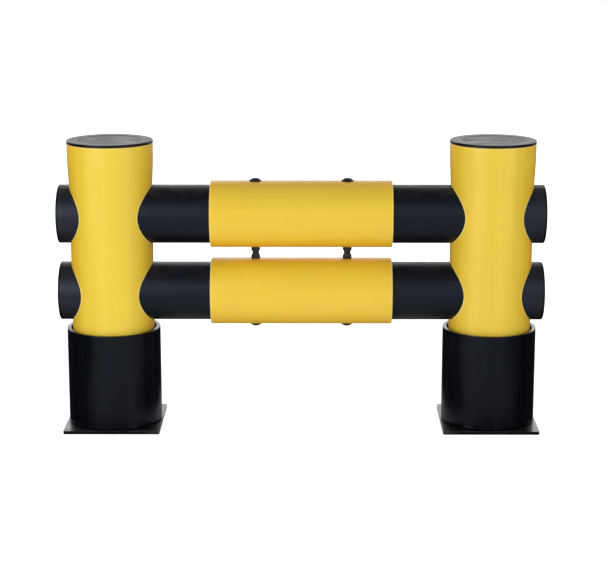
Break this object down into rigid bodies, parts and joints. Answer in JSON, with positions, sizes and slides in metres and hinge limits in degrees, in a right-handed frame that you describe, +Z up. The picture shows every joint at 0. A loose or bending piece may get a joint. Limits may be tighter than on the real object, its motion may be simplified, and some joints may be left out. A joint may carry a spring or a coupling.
{
  "type": "industrial guard rail",
  "caption": "Free-standing double-rail traffic guard in plastic pipe: flared posts on anchored base plates, rails through the posts, and bolted sleeves over the rail joints.",
  "frame": {"origin": "on the floor, midway between the two posts, at the bottom centre of the part's box", "axes": "+X along the rails, +Y across the guard, +Z up"},
  "size_m": [1.16, 0.23, 0.6945],
  "materials": {
    "yellow_pipe": "satin, coloured through",
    "black_pipe": "satin, coloured through",
    "black_moulding": "fine moulded texture",
    "plate_steel": "black powder coat",
    "black_fastener": "black oxide",
    "zinc_steel": "zinc plated"
  },
  "bodies": {
    "root": {"base_plate_left": "plate_steel", "base_plate_right": "plate_steel", "base_ring_left": "black_pipe", "base_ring_right": "black_pipe", "post_spigot_left": "plate_steel", "post_spigot_right": "plate_steel", "rod_boss_left": "plate_steel", "rod_boss_right": "plate_steel", "post_left": "yellow_pipe", "post_right": "yellow_pipe", "post_cap_left": "black_moulding", "post_cap_right": "black_moulding", "tie_rod_left": "zinc_steel", "tie_rod_right": "zinc_steel", "tie_rod_washers": "zinc_steel", "tie_rod_nuts": "zinc_steel", "rail_upper_left": "black_pipe", "rail_upper_right": "black_pipe", "rail_lower_left": "black_pipe", "rail_lower_right": "black_pipe", "rail_cap_upper_left": "black_moulding", "rail_cap_upper_right": "black_moulding", "rail_cap_lower_left": "black_moulding", "rail_cap_lower_right": "black_moulding", "sleeve_upper": "yellow_pipe", "sleeve_lower": "yellow_pipe", "coupling_bolts": "black_fastener", "coupling_nuts": "black_fastener"}
  },
  "joints": []
}
